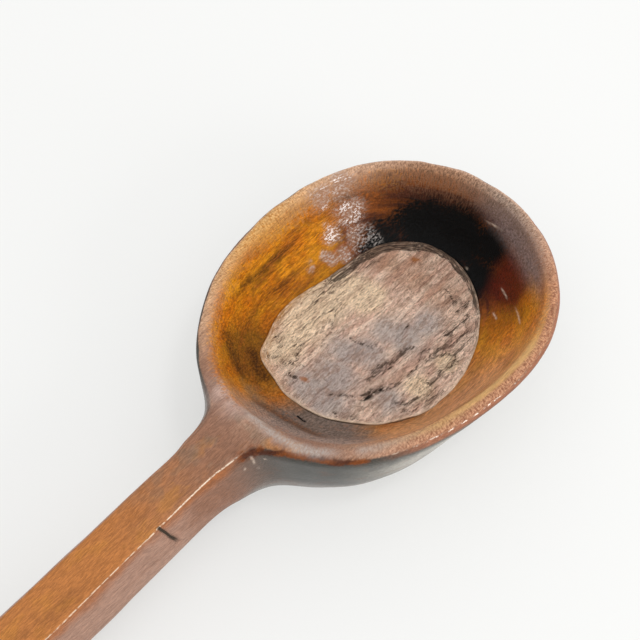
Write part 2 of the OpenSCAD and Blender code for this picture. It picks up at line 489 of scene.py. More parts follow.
# Dark streaks on the left wall: the pixels, the width in millimetres and the strength of each
streaks = (
    (((224, 324), (234, 297), (252, 279), (272, 262), (293, 246), (318, 228)), 2.0, 0.75),
    (((254, 314), (276, 290), (293, 276), (312, 262)), 1.4, 0.75),
    (((248, 300), (268, 276), (300, 252), (330, 236)), 0.7, 0.5),
    (((240, 334), (262, 306), (284, 290)), 0.7, 0.6),
    (((318, 205), (345, 196), (375, 200), (400, 212)), 1.6, 0.9),
    (((330, 222), (352, 232), (378, 232)), 1.2, 0.7),
    (((222, 312), (227, 338), (237, 366), (252, 388)), 3.2, 0.8),
    (((246, 338), (252, 354), (262, 374), (276, 390)), 2.6, 1.0),
)
# Glint patches on the wall, as pixels and sizes in millimetres: the coat shows glints there, and pale flecks paint
# more
glint_px = (321, 196), (342, 184), (350, 211), (331, 234), (345, 254), (330, 257), (311, 269), (360, 238), (374, 241)
glint_mm = 4.5, 4.5, 5, 3.5, 3.2, 2.4, 1.8, 5, 3
pale_neck_px, pale_neck_mm = ((220, 390), (234, 403)), (6, 5)
# Bands along the rim's inner edge that paint its highlight: by the neck, and along the near side
highlight_crescent_px = (234, 399), (256, 418), (278, 436), (296, 446), (315, 452), (351, 452)
highlight_near_rim_px = (351, 452), (373, 448), (395, 440), (440, 424), (480, 396), (520, 360), (543, 332)
crease_px = (243, 390), (253, 399), (273, 410), (293, 423), (319, 434), (345, 440)
edge_stain_px = (240, 457), (252, 453), (265, 453), (284, 454), (307, 458), (330, 462), (354, 463), (378, 460)
stain_patch_px = (322, 461), (336, 464), (352, 464)
neck_patch_px, neck_patch_mm = ((243, 457), (252, 453), (260, 451)), (2.2, 2.4, 1.8)
scratches_px = (
    ((483, 219), (496, 226), (504, 232)), ((500, 287), (505, 294), (508, 300)), ((514, 306), (518, 316), (520, 325)),
    ((249, 455), (253, 459), (256, 464)), ((243, 468), (246, 469)), ((258, 466), (260, 468)),
    ((264, 459), (268, 458)), ((492, 312), (497, 320)), ((465, 267), (468, 270)),
)


def beside_stroke(points, normals, start, end):
    """Signed distance of each point from the line of a stroke, and how far along the stroke it lies."""
    run = end - start
    middle = np.argmin(np.linalg.norm(points - (start + end) / 2, axis=1))
    across = np.cross(normals[middle], run)
    return (points - start) @ across / np.linalg.norm(across), (points - start) @ run / (run @ run)


def carve(skin):
    """Gives the even skin its tool marks, dents, notch and pit, and stores what its finish needs."""
    mesh = skin.data
    points, normals = points_of(mesh), normals_of(mesh)
    surface = BVHTree.FromObject(skin, bpy.context.evaluated_depsgraph_get())

    wander = 0.9 * np.stack([bumps(points, (9, 4, 4), seed) for seed in (4, 5, 6)], 1)

    def marked(pixels, width, taper=0.0, raggedness=0.0):
        places = [seen_on(surface, pixel) for pixel in pixels]
        return along_line(points + raggedness * wander, places, width, taper)

    x, y, z = points.T
    direction, radius = atan2d(y, x), np.hypot(x, y)
    lip_in = inner_r(direction) - radius
    in_hollow = (normals[:, 2] > 0) & (lip_in > -0.8) & (z > seat_z - 1)
    facing_in = (normals[:, 2] > 0) & (normals[:, 0] * x + normals[:, 1] * y < 0)
    on_top = in_hollow | (normals[:, 2] > math.sqrt(0.5)) | (facing_in & (lip_in > -lip_w) & (x > -neck_root - 12))
    beside, along = nearest_on(edge_curve(), points)
    edge = np.where(on_top, -beside, beside)
    level = (bowl_h - z) / hollow_depth
    on_bowl = ease((x + 75) / 12)
    notch, pit = marked(notch_px, 0.8), marked(pit_px, 0.9)
    crease = marked(crease_px, 2.2, 0.3, 0.8)

    facets = 0.32 * bumps(points, (26, 13, 11), 1) + 0.14 * bumps(points, (9, 6, 6), 2)
    facets *= np.where(in_hollow, 0.9, np.where(on_top, 0.45, 1))
    frayed = points + 2.4 * wander + 0.9 * np.stack([bumps(points, (2.5, 1.2, 1.2), seed) for seed in (8, 9, 10)], 1)
    # Patches that hold glints: real ones from the coat, and painted ones from pale flecks
    glint_patch = patches(frayed, [seen_on(surface, pixel) for pixel in glint_px], glint_mm)
    facets += in_hollow * glint_patch * 0.25 * bumps(points, (6, 4, 4), 7)
    worn_down = -0.35 * np.exp(-(beside / 1.3) ** 2) * (0.6 + bumps(points, (7, 5, 5), 3))
    past_notch = ease((-112 - x) / 2) * ease((x + 150) / 20) * (y < 0) * ease(edge / 1.5) * ease((8 - edge) / 5)
    depth = 0.9 * notch + 0.9 * pit + 0.25 * crease + 0.3 * past_notch
    moved = points + normals * (facets + worn_down - depth)[:, None]
    rolled = mix(0.6, 1.5, lip(direction)) * np.exp(-((lip_in + 0.5) / mix(2.5, 4, lip(direction))) ** 2)
    moved[:, 2] -= rolled * on_top * (x > -75)
    lowest, highest = (np.array(corner) / MM for corner in cad_box)
    set_points(mesh, np.clip(moved, lowest, highest))

    near_ridge = ease((-72 - x) / 5) * (y < 0)
    near_rim = np.exp(-((direction + 104) / 36) ** 2) * (x > -60)
    near_notch = np.linalg.norm(points - seen_on(surface, notch_px[0]), axis=1) < 20
    strokes = [beside_stroke(points, normals, *(seen_on(surface, p) for p in ends)) for ends in (notch_px, pit_px)]
    keep(mesh, "edge", edge)
    keep(mesh, "along", along)
    keep(mesh, "lip", np.where(on_top, lip_in, -20))
    keep(mesh, "level", level)
    soft_end = np.maximum(lip(direction), ease((direction - 140) / 25))
    keep(mesh, "rim", np.where(on_top, on_bowl * (lip_in < 7) * (1 - soft_end), 0))
    keep(mesh, "broad_rim", ease((125 - direction) / 35) * ease((direction + 25) / 40))
    # Worn edges: along them a pale line paints the highlight of the near ridge and the near rim, and the coat is
    # glossier
    worn_and_highlit_edge = np.maximum(0.1, np.maximum(near_ridge, 0.8 * near_rim))
    keep(mesh, "worn_and_highlit_edge", worn_and_highlit_edge * (1 - marked(edge_stain_px, 1.6)))
    keep(mesh, "cut_side", np.where(near_notch, strokes[0][0], strokes[1][0]))
    keep(mesh, "cut_run", np.where(near_notch, strokes[0][1], strokes[1][1]))
    keep(mesh, "cut", np.maximum(notch, pit) > 0.01)
    upper_scorch = stain(direction, level, 10, 36, 0.85, 0.72)
    low_scorch = [0.85 * stain(direction, level, 38, 24, 1.0, 0.45), 0.95 * stain(direction, level, -16, 20, 1.05, 0.45)]
    low_scorch.append(0.9 * stain(direction, level, -11, 14, 0.6, 0.4))
    keep(mesh, "scorch", np.max([upper_scorch, *low_scorch], axis=0))
    keep(mesh, "damp", stain(direction, level, 52, 20, 0.45, 0.55))
    # Painted shade: darker low on the wall, by the neck and on the right
    low_wall_shade = [stain(direction, level, 151, 22, 0.8, 0.5), 0.6 * stain(direction, level, -44, 13, 0.7, 0.6)]
    keep(mesh, "low_wall_shade", np.max(low_wall_shade, axis=0))
    keep(mesh, "golden", np.exp(-((direction - 102) / 34) ** 2))
    keep(mesh, "pale_neck", patches(points, [seen_on(surface, pixel) for pixel in pale_neck_px], pale_neck_mm))
    keep(mesh, "russet", ease((direction + 142) / 25) * ease((12 - direction) / 20) * ease((3.5 - edge) / 2.5))
    keep(mesh, "rust", stain(direction, level, -30, 13, 0.6, 0.42))
    # Grey-lilac painted sheen on the upper right wall
    keep(mesh, "painted_sheen", stain(direction, level, -20, 27, 0.1, 0.38))
    keep(mesh, "cool", stain(direction, level, -163, 29, 0.5, 0.95))
    keep(mesh, "tan", stain(direction, level, -80, 70, 0.0, 1.5))
    keep(mesh, "pale_wall", stain(direction, level, -106, 46, 0.3, 1.2))
    keep(mesh, "glint_patch", glint_patch)
    # Painted reflection of the white table, pale on the near outside of the bowl
    upper = ease((edge - 1) / 8) * (1 - 0.65 * ease((edge - 12) / 12))
    keep(mesh, "table_reflection", 0.8 * ease((direction + 152) / 30) * ease((-25 - direction) / 45) * upper)
    dark = [strength * marked(pixels, width, 0.35, 0.6) for pixels, width, strength in streaks]
    glow = [strength * marked(pixels, 3 * width, 0.35, 0.6) for pixels, width, strength in streaks]
    keep(mesh, "streak", 0.6 * np.max(dark, axis=0) + 0.4 * np.max(glow, axis=0))
    keep(mesh, "highlight_band", np.maximum(marked(highlight_crescent_px, 2.0, 0.2, 0.5), 0.7 * marked(highlight_near_rim_px, 1.4, 0.1, 0.5)))
    keep(mesh, "crease", crease)
    by_neck = patches(points, [seen_on(surface, pixel) for pixel in neck_patch_px], neck_patch_mm)
    edge_stain = [marked(edge_stain_px, 1.3, 0.1, 0.4), marked(stain_patch_px, 1.7, 0.4, 0.6), by_neck]
    keep(mesh, "edge_stain", np.max(edge_stain, axis=0))
    keep(mesh, "scratch", np.max([marked(pixels, 0.28, 0.3, 0.3) for pixels in scratches_px], axis=0))


def seam_normals(mesh):
    """Stores the skin's normals, so that they stay whole where the skin is cut."""
    layer = mesh.attributes.new("skin_normal", "FLOAT_VECTOR", "POINT")
    layer.data.foreach_set("vector", normals_of(mesh).astype(np.float32).ravel())


def cut_at_neck(skin, name, bowl_side):
    """The skin's part on one side of the neck's end, closed with a flat face."""
    cut = bmesh.new()
    cut.from_mesh(skin.data)
    everything = cut.verts[:] + cut.edges[:] + cut.faces[:]
    bmesh.ops.bisect_plane(cut, geom=everything, plane_co=(-neck_reach * MM, 0, 0), plane_no=(1, 0, 0),
                           dist=1e-6, clear_inner=bowl_side, clear_outer=not bowl_side)
    open_edges = [e for e in cut.edges if e.is_boundary]
    cut.verts.index_update()
    seam = sorted({v.index for e in open_edges for v in e.verts})
    bmesh.ops.edgeloop_fill(cut, edges=open_edges)
    mesh = bpy.data.meshes.new(name)
    cut.to_mesh(mesh)
    cut.free()
    whole = np.empty(len(mesh.vertices) * 3)
    mesh.attributes["skin_normal"].data.foreach_get("vector", whole)
    mesh.attributes.remove(mesh.attributes["skin_normal"])
    kept = np.zeros((len(mesh.vertices), 3))
    kept[seam] = whole.reshape(-1, 3)[seam]
    mesh.normals_split_custom_set_from_vertices(kept.tolist())
    piece = bpy.data.objects.new(name, mesh)
    bpy.context.scene.collection.objects.link(piece)
    return piece


def smooth(mesh):
    mesh.polygons.foreach_set("use_smooth", np.ones(len(mesh.polygons), bool))
    mesh.update()


# The rough floor

# Its cracks: the pixels, the width in millimetres and the strength of each
cracks = (
    (((348, 397), (368, 394), (379, 392), (384, 390), (394, 385), (406, 374)), 0.7, 1.0),
    (((366, 391), (374, 391), (382, 388), (388, 386)), 0.6, 1.0),
    (((356, 397), (362, 399), (369, 397), (374, 393)), 0.6, 1.0),
    (((395, 326), (403, 329), (412, 324)), 0.6, 1.0),
    (((366, 375), (389, 363), (406, 351), (418, 344)), 1.33, 0.64),
    (((362, 385), (375, 376), (385, 371), (396, 361)), 1.04, 0.56),
    (((430, 350), (451, 345), (462, 335), (479, 323)), 1.04, 0.6),
    (((415, 379), (429, 383), (439, 373), (451, 366), (465, 350)), 1.04, 0.6),
    (((388, 402), (406, 403), (419, 398), (436, 393)), 0.95, 0.64),
    (((430, 358), (445, 353), (454, 354), (464, 346), (477, 334)), 0.95, 0.58),
    (((420, 367), (436, 352), (446, 343), (459, 327)), 0.85, 0.6),
    (((402, 380), (416, 366), (424, 352), (434, 344)), 0.85, 0.6),
    (((437, 338), (452, 331), (462, 320), (473, 312)), 0.85, 0.6),
    (((396, 413), (414, 408), (430, 400), (449, 386)), 0.85, 0.56),
    (((355, 341), (368, 346), (383, 347)), 0.76, 0.6),
    (((347, 336), (357, 343)), 0.76, 0.56),
    (((442, 286), (454, 300)), 0.85, 0.56),
    (((453, 312), (464, 307), (474, 297)), 0.95, 0.56),
    (((449, 304), (463, 296), (470, 286)), 0.85, 0.6),
    (((272, 334), (280, 341), (279, 350)), 0.76, 0.64),
    (((282, 343), (294, 346), (306, 342)), 0.76, 0.56),
    (((259, 351), (270, 357), (283, 354)), 0.76, 0.6),
    (((273, 367), (286, 363), (299, 364)), 0.76, 0.56),
    (((299, 346), (297, 366)), 0.66, 0.48),
    (((340, 296), (336, 314), (332, 332)), 0.66, 0.52),
    (((324, 396), (342, 395), (358, 397)), 0.76, 0.56),
    (((330, 411), (348, 418), (364, 420)), 0.76, 0.64),
    (((290, 322), (316, 302), (342, 286)), 0.76, 0.48),
    (((294, 334), (320, 316), (348, 302)), 0.76, 0.48),
    (((312, 300), (338, 282), (362, 262)), 0.85, 0.56),
    (((334, 288), (356, 272), (386, 252)), 0.85, 0.56),
    (((287, 373), (299, 381)), 0.95, 0.64),
)
wrinkled_px = (456, 330), (448, 362), (428, 388), (454, 300)
wrinkled_mm = 7, 8, 7, 5
amber_px = ((406, 257), (416, 261), (427, 261)), ((296, 379), (304, 380), (314, 382))
cream_px = (283, 347), (300, 322), (320, 303), (345, 288), (366, 296), (418, 386), (447, 362)
cream_mm = 8, 10, 10, 9, 8, 5, 4
ruddy_px, ruddy_mm = ((388, 266), (415, 272), (440, 288)), (12, 12, 10)
grey_px = (310, 386), (335, 376), (330, 402), (345, 350), (368, 352), (385, 332), (405, 335), (425, 325), (390, 402)
grey_mm = 8, 9, 8, 7, 8, 7, 8, 7, 6


def floor_place(pixel):
    return seen_at_height(floor_z - floor_dish / 2, pixel)


def foot_rise(directions, out):
    """How high the hollow's wall stands above the floor, at a distance outside the floor's edge."""
    inset, drop = hollow_wall(np.linspace(1, 0, 200))
    whole = bowl_h - mix(inner_round, lip_round, lip(directions)) - floor_z
    share_out = out / (inner_r(directions) - floor_r(directions))
    return np.interp(share_out, 1 - inset, 1 - drop) * whole


def floor_piece():
    """Rough layer in the bottom of the hollow: a dished top, with a torn edge that laps up the wall's foot."""
    directions = hollow_directions()
    around = np.stack([30 * cosd(directions), 30 * sind(directions), 0 * directions], 1)
    out = 0.2 + 0.4 * bumps(around, (4, 4, 4), 14)
    out += 2.4 * np.exp(-((directions - 150) / 8) ** 2) + 0.6 * np.exp(-((directions - 103) / 10) ** 2)
    seat_r, edge_r = floor_r(directions) - 0.45, floor_r(directions) + out
    edge_z = floor_z + foot_rise(directions, np.maximum(0, out))

    def ring(radius, z):
        return np.stack([radius * cosd(directions), radius * sind(directions), z + 0 * directions], 1)

    rings = [ring(seat_r, seat_z), ring(seat_r, floor_z - 0.4), ring(edge_r, edge_z - 0.15)]
    rings.append(ring(edge_r - 0.12, edge_z + 0.32))
    shares = np.linspace(0.985, 0.01, 150)
    for q in shares:
        over_wall = foot_rise(directions, np.maximum(0, q * edge_r - floor_r(directions)))
        lifted = 0.4 * math.exp(-((1 - q) / 0.03) ** 2) + over_wall + 0.3 * ease(over_wall / 0.1)
        rings.append(ring(q * edge_r, floor_z - floor_dish * (1 - q * q) + lifted))
    piece = ring_stack("rough_floor", rings)
    mesh = piece.data
    points = points_of(mesh)
    on_top = np.arange(len(points)) >= 4 * len(directions)
    ragged = points + 0.9 * np.stack([bumps(points, (5, 4, 4), seed) for seed in (11, 12, 13)], 1)
    ragged += 0.5 * np.stack([bumps(points, (2, 1.5, 1.5), seed) for seed in (15, 16, 17)], 1)

    def folded(lines):
        masks = [strength * along_line(ragged, [floor_place(p) for p in line], width, 0.2)
                 for line, width, strength in lines]
        return np.max(masks, axis=0)

    deep = folded(cracks)
    folds = 1 - 2 * abs(bumps(ragged, (14, 3, 3), 21))
    wrinkles = 1 - 2 * abs(bumps(ragged, (6, 1.4, 1.4), 22))
    swell = bumps(points, (16, 9, 9), 23)
    share = np.repeat(np.concatenate([[1, 1, 1, 1], shares]), len(directions))
    inner = 1 - ease((share - 0.9) / 0.1)
    relief = inner * (0.3 * folds + 0.1 * wrinkles + 0.4 * swell - 0.3) - 0.75 * deep
    points[:, 2] += np.where(on_top, relief, 0)
    points[:, 2] = np.maximum(points[:, 2], seat_z)
    set_points(mesh, points)
    keep(mesh, "crack", deep)
    keep(mesh, "shadow", folded([(line, 2.2 * width, strength) for line, width, strength in cracks]))
    keep(mesh, "wrinkled", patches(points, [floor_place(p) for p in wrinkled_px], wrinkled_mm))
    direction = atan2d(points[:, 1], points[:, 0]) + 8 * bumps(points, (5, 5, 5), 24)
    from_edge = (1 - share) * 40
    torn_mm = 2.1 + 2.8 * np.exp(-((direction - 58) / 38) ** 2) + 0.9 * bumps(points, (4, 4, 4), 25)
    far_side = np.exp(-((direction - 25) / 72) ** 4)
    keep(mesh, "from_edge", from_edge)
    keep(mesh, "around", np.radians(direction) * 40)
    keep(mesh, "torn", far_side * ease((torn_mm - from_edge) / 1.2 + 0.5))
    keep(mesh, "pale_edge", (1 - far_side) * np.exp(-(from_edge / 0.8) ** 2))
    keep(mesh, "tinted", np.exp(-((direction - 128) / 32) ** 2) * ease((4.5 - from_edge) / 4.5))
    keep(mesh, "ruddy", patches(points, [floor_place(p) for p in ruddy_px], ruddy_mm))
    keep(mesh, "amber", np.max([along_line(ragged, [floor_place(p) for p in line], 1.2, 0.5) for line in amber_px], axis=0))
    keep(mesh, "cream", patches(points, [floor_place(p) for p in cream_px], cream_mm))
    keep(mesh, "grey", patches(points, [floor_place(p) for p in grey_px], grey_mm))
    return piece


# Finishes

def paint(code):
    """Colour for the shaders from its usual six-digit code."""
    parts = [int(code[i:i + 2], 16) / 255 for i in (1, 3, 5)]
    return (*(c / 12.92 if c <= 0.04045 else ((c + 0.055) / 1.055) ** 2.4 for c in parts), 1)


def add(tree, kind, inputs=None, **settings):
    """Adds a node. Each of its inputs gets a value, or a link where a socket is given."""
    node = tree.nodes.new(kind)
    for key, value in settings.items():
        setattr(node, key, value)
    for key, value in (inputs or {}).items():
        if isinstance(value, bpy.types.NodeSocket):
            tree.links.new(value, node.inputs[key])
        else:
            node.inputs[key].default_value = value
    return node


def blended(tree, share, a, b, mode="MIX"):
    """Colour between a and b."""
    return add(tree, "ShaderNodeMix", {0: share, 6: a, 7: b}, data_type="RGBA", blend_type=mode).outputs[2]


def sums(tree, operation, *values):
    inputs = dict(enumerate(values))
    return add(tree, "ShaderNodeMath", inputs, operation=operation, use_clamp=False).outputs[0]


def step(tree, value, low, high):
    """0 below low and 1 above high, or the other way round where high is the lower one."""
    flip = low > high
    inputs = {"Value": value, "From Min": min(low, high), "From Max": max(low, high)}
    inputs.update({"To Min": float(flip), "To Max": float(not flip)})
    return add(tree, "ShaderNodeMapRange", inputs, interpolation_type="SMOOTHSTEP").outputs[0]


def stored(tree, name):
    return add(tree, "ShaderNodeAttribute", attribute_name=name).outputs["Fac"]


def noise(tree, place, scale=1.0, detail=2.0, roughness=0.5, distortion=0.0):
    inputs = {"Vector": place, "Scale": scale, "Detail": detail, "Roughness": roughness,
              "Distortion": distortion}
    return add(tree, "ShaderNodeTexNoise", inputs).outputs[0]


def stretched(tree, place, sizes):
    """Place divided by the sizes, in millimetres, that a pattern has along x, y and z."""
    inverse = tuple(1 / size for size in sizes)
    return add(tree, "ShaderNodeVectorMath", {0: place, 1: inverse}, operation="MULTIPLY").outputs[0]


def new_group(name, inputs, outputs):
    """Empty shader node group with its input and output nodes; sockets are {name: (kind, value)}."""
    tree = bpy.data.node_groups.new(name, "ShaderNodeTree")
    for key, (kind, value) in inputs.items():
        socket = tree.interface.new_socket(key, in_out="INPUT", socket_type="NodeSocket" + kind)
        socket.default_value = value
    for key, kind in outputs.items():
        tree.interface.new_socket(key, in_out="OUTPUT", socket_type="NodeSocket" + kind)
    return tree, tree.nodes.new("NodeGroupInput").outputs, tree.nodes.new("NodeGroupOutput").inputs


def placed(tree, group, **values):
    """One use of a node group."""
    node = tree.nodes.new("ShaderNodeGroup")
    node.node_tree = group
    for key, value in values.items():
        if isinstance(value, bpy.types.NodeSocket):
            tree.links.new(value, node.inputs[key])
        else:
            node.inputs[key].default_value = value
    return node.outputs


def place_mm(tree):
    """Place on the ladle, in millimetres."""
    place = add(tree, "ShaderNodeTexCoord").outputs["Object"]
    return add(tree, "ShaderNodeVectorMath", {0: place, "Scale": 1000.0}, operation="SCALE").outputs[0]


def about_zero(tree, value, reach):
    """Value from 0 to 1 turned into one from -reach / 2 to reach / 2."""
    return sums(tree, "MULTIPLY_ADD", value, reach, -reach / 2)


def times(tree, *values):
    total = values[0]
    for value in values[1:]:
        total = sums(tree, "MULTIPLY", total, value)
    return total


def varied(tree, colour, pattern, strength):
    """Colour made darker and lighter by a pattern from 0 to 1."""
    share = sums(tree, "MULTIPLY_ADD", pattern, strength, 1 - strength / 2)
    return blended(tree, 1.0, colour, share, "MULTIPLY")


def grain_group():
    """Grain of the billet, which runs along its length: broad streaks, thin fibres and cloudy patches."""
    sockets = {"Waviness": ("Float", 3.0), "Streak": ("Float", 4.5), "Fibre": ("Float", 0.45)}
    outputs = {"Streaks": "Float", "Fibres": "Float", "Mottle": "Float"}
    tree, given, result = new_group("grain", sockets, outputs)
    place = place_mm(tree)
    sway = add(tree, "ShaderNodeTexNoise", {"Vector": stretched(tree, place, (40, 22, 22)), "Scale": 1.0, "Detail": 1.0})
    sway = add(tree, "ShaderNodeVectorMath", {0: sway.outputs["Color"], 1: (0.5, 0.5, 0.5)}, operation="SUBTRACT")
    sway = add(tree, "ShaderNodeVectorMath", {0: sway.outputs[0], "Scale": given["Waviness"]}, operation="SCALE")
    wavy = add(tree, "ShaderNodeVectorMath", {0: place, 1: sway.outputs[0]}, operation="ADD").outputs[0]
    across = sums(tree, "DIVIDE", 1.0, given["Streak"])
    scales = add(tree, "ShaderNodeCombineXYZ", {0: 0.022, 1: across, 2: across}).outputs[0]
    broad = add(tree, "ShaderNodeVectorMath", {0: wavy, 1: scales}, operation="MULTIPLY").outputs[0]
    across = sums(tree, "DIVIDE", 1.0, given["Fibre"])
    scales = add(tree, "ShaderNodeCombineXYZ", {0: 0.35, 1: across, 2: across}).outputs[0]
    thin = add(tree, "ShaderNodeVectorMath", {0: wavy, 1: scales}, operation="MULTIPLY").outputs[0]
    mottle = noise(tree, stretched(tree, place, (13, 8, 8)), detail=4.0, roughness=0.6)
    tree.links.new(noise(tree, broad, detail=3.0, roughness=0.6), result["Streaks"])
    tree.links.new(step(tree, noise(tree, thin, detail=2.0, roughness=0.7), 0.3, 0.7), result["Fibres"])
    tree.links.new(mottle, result["Mottle"])
    return tree


def hatch_group():
    """Short fine lines across the rim, where the knife crossed the grain."""
    tree, given, result = new_group("hatch", {}, {"Hatch": "Float"})
    place = add(tree, "ShaderNodeCombineXYZ", {0: times(tree, stored(tree, "along"), 1.5),
                                               1: times(tree, stored(tree, "lip"), 0.75)}).outputs[0]
    lines = noise(tree, place, detail=3.0, roughness=0.75)
    tree.links.new(step(tree, lines, 0.34, 0.66), result["Hatch"])
    return tree


def cut_mark_group():
    """Mask of the notch and the pit: dark torn lines that swell in the middle and end in fibres."""
    tree, given, result = new_group("cut_mark", {}, {"Mask": "Float"})
    run, side = stored(tree, "cut_run"), stored(tree, "cut_side")
    place = add(tree, "ShaderNodeCombineXYZ", {0: times(tree, run, 2.0), 1: times(tree, side, 3.6)}).outputs[0]
    torn = noise(tree, place, detail=3.0, roughness=0.7)
    width = sums(tree, "MULTIPLY_ADD", step(tree, run, -0.1, 0.2), 0.25, 0.5)
    ends = times(tree, step(tree, run, -0.05, 0.1), step(tree, run, 1.1, 0.75))
    near = sums(tree, "SUBTRACT", 1.0, sums(tree, "DIVIDE", sums(tree, "ABSOLUTE", side), width))
    shape = sums(tree, "ADD", near, about_zero(tree, torn, 2.2))
    mask = times(tree, step(tree, shape, 0.05, 0.45), ends, stored(tree, "cut"))
    tree.links.new(mask, result["Mask"])
    return tree


def old_wood_group(grain, hatch):
    """Hand-worn brown wood of the handle, the neck, the rim and the bowl's outside, with a painted highlight along
    its worn edges and a painted sheen and reflection of the table on the bowl's outside.
    """
    outputs = {"Color": "Color", "Roughness": "Float", "Coat": "Float", "Height": "Float"}
    tree, given, result = new_group("old_wood", {}, outputs)
    streaks, fibres, mottle = placed(tree, grain)
    lines = placed(tree, hatch)["Hatch"]
    edge, rim, place = stored(tree, "edge"), stored(tree, "rim"), place_mm(tree)
    x, y, z = add(tree, "ShaderNodeSeparateXYZ", {0: place}).outputs
    off = about_zero(tree, mottle, 40.0)
    towards_bowl = step(tree, sums(tree, "ADD", x, off), -125, -75)
    top = blended(tree, towards_bowl, paint("#b4733f"), paint("#8e6752"))
    top = blended(tree, times(tree, step(tree, mottle, 0.5, 0.68), 0.5), top, paint("#bd7d38"))
    cloudy = noise(tree, stretched(tree, place, (7, 6, 6)), detail=2.0)
    top = blended(tree, times(tree, step(tree, cloudy, 0.52, 0.66), towards_bowl, 0.5), top, paint("#7d6a58"))
    side = blended(tree, step(tree, sums(tree, "ADD", x, off), -110, -82), paint("#9f7c6a"), paint("#87604b"))
    # Grey-green outer wall: dark wood, with the grey of its sheen from the table partly painted in
    side = blended(tree, step(tree, x, -88, -62), side, paint("#464540"))
    far_side = times(tree, step(tree, sums(tree, "ADD", y, off), -25, 25), step(tree, x, -62, -30))
    far_brown = blended(tree, step(tree, streaks, 0.4, 0.6), paint("#4a3222"), paint("#6b4a34"))
    side = blended(tree, far_side, side, far_brown)
    near_edge = times(tree, step(tree, sums(tree, "ADD", edge, about_zero(tree, mottle, 9.0)), 5.5, 0.0), 0.9)
    side = blended(tree, times(tree, near_edge, step(tree, x, -70, -85)), side, paint("#9c5f36"))
    # Painted reflection: paler grey low on the outside, which faces the table
    side = blended(tree, step(tree, edge, 18.0, 25.0), side, paint("#7f7973"))
    # Painted reflection: the table mirrored pale grey in the near outside of the bowl
    side = blended(tree, times(tree, stored(tree, "table_reflection"), step(tree, mottle, 0.1, 0.6)), side, paint("#bfb8ac"))
    side = blended(tree, stored(tree, "russet"), side, paint("#a06a50"))
    colour = blended(tree, step(tree, edge, -0.4, 0.6), top, side)
    lip_in = stored(tree, "lip")
    grey_rim = blended(tree, lines, paint("#ac866c"), paint("#e0b99e"))
    golden_rim = blended(tree, lines, paint("#b3742e"), paint("#e3b678"))
    golden = times(tree, stored(tree, "golden"), step(tree, lip_in, -7.0, -4.0))
    grey_rim = blended(tree, golden, grey_rim, golden_rim)
    tan_rim = blended(tree, lines, paint("#8c573d"), paint("#cf9b78"))
    # Painted highlight: a pale band just inside the near rim
    cream = times(tree, step(tree, lip_in, -2.6, -1.4), step(tree, stored(tree, "tan"), 0.7, 0.98))
    tan_rim = blended(tree, cream, tan_rim, paint("#c6985f"))
    rim_colour = blended(tree, step(tree, stored(tree, "tan"), 0.3, 0.8), grey_rim, tan_rim)
    burnt = times(tree, step(tree, stored(tree, "scorch"), 0.02, 0.22), step(tree, lip_in, -5.2, -2.6), 0.9)
    # The burnt rim is greyer where the painted sheen lies
    greyed = step(tree, stored(tree, "painted_sheen"), 0.1, 0.7)
    burnt_dark = blended(tree, greyed, paint("#5a3a24"), paint("#5c4a40"))
    burnt_light = blended(tree, greyed, paint("#b58868"), paint("#b09a88"))
    rim_colour = blended(tree, burnt, rim_colour, blended(tree, lines, burnt_dark, burnt_light))
    colour = blended(tree, rim, colour, rim_colour)
    # Pale patches on the neck's top by the hollow
    colour = blended(tree, times(tree, stored(tree, "pale_neck"), mottle), colour, paint("#cdb3a8"))
    colour = blended(tree, times(tree, step(tree, streaks, 0.5, 0.7), 0.3), colour, paint("#6a4128"))
    beads = noise(tree, stretched(tree, place, (1.4, 0.8, 0.8)), detail=2.0)
    stain_shape = sums(tree, "ADD", stored(tree, "edge_stain"), about_zero(tree, beads, 0.9))
    stain_colour = blended(tree, step(tree, cloudy, 0.42, 0.6), paint("#4a200a"), paint("#7c3f12"))
    colour = blended(tree, times(tree, step(tree, stain_shape, 0.1, 0.8), 0.9), colour, stain_colour)
    colour = varied(tree, colour, fibres, 0.42)
    # Painted highlight: a pale beaded line along the worn edge
    line = step(tree, sums(tree, "ABSOLUTE", sums(tree, "ADD", edge, -0.1)), 0.42, 0.1)
    beads = step(tree, sums(tree, "MULTIPLY_ADD", step(tree, x, -80, -60), -0.13, beads), 0.34, 0.54)
    colour = blended(tree, times(tree, line, beads, stored(tree, "worn_and_highlit_edge"), 0.9), colour, paint("#e4ccb2"))
    tree.links.new(colour, result["Color"])
    tree.links.new(sums(tree, "MULTIPLY_ADD", mottle, 0.22, 0.3), result["Roughness"])
    shine = times(tree, step(tree, edge, 2.0, 6.0), step(tree, x, -95, -70), 0.35)
    glossy_line = times(tree, line, beads, step(tree, stored(tree, "worn_and_highlit_edge"), 0.2, 0.6), step(tree, x, -130, -60))
    shine = sums(tree, "MAXIMUM", shine, glossy_line)
    tree.links.new(shine, result["Coat"])
    tree.links.new(sums(tree, "MULTIPLY_ADD", fibres, 0.35, mottle), result["Height"])
    return tree


def new_material(name, specular=0.5):
    material = bpy.data.materials.new(name)
    material.use_nodes = True
    tree = material.node_tree
    shader = tree.nodes["Principled BSDF"]
    shader.inputs["Specular IOR Level"].default_value = specular
    shader.inputs["Coat Roughness"].default_value = 0.16
    shader.inputs["Coat IOR"].default_value = 1.8
    return material, tree, shader


def finish(tree, shader, colour, roughness, height, depth_mm, coat=None):
    """Feeds the shader, with the height turned into a relief of the given depth."""
    bump = add(tree, "ShaderNodeBump", {"Height": height, "Distance": depth_mm * MM, "Strength": 1.0})
    tree.links.new(colour, shader.inputs["Base Color"])
    tree.links.new(roughness, shader.inputs["Roughness"])
    tree.links.new(bump.outputs[0], shader.inputs["Normal"])
    if coat:
        tree.links.new(coat, shader.inputs["Coat Weight"])


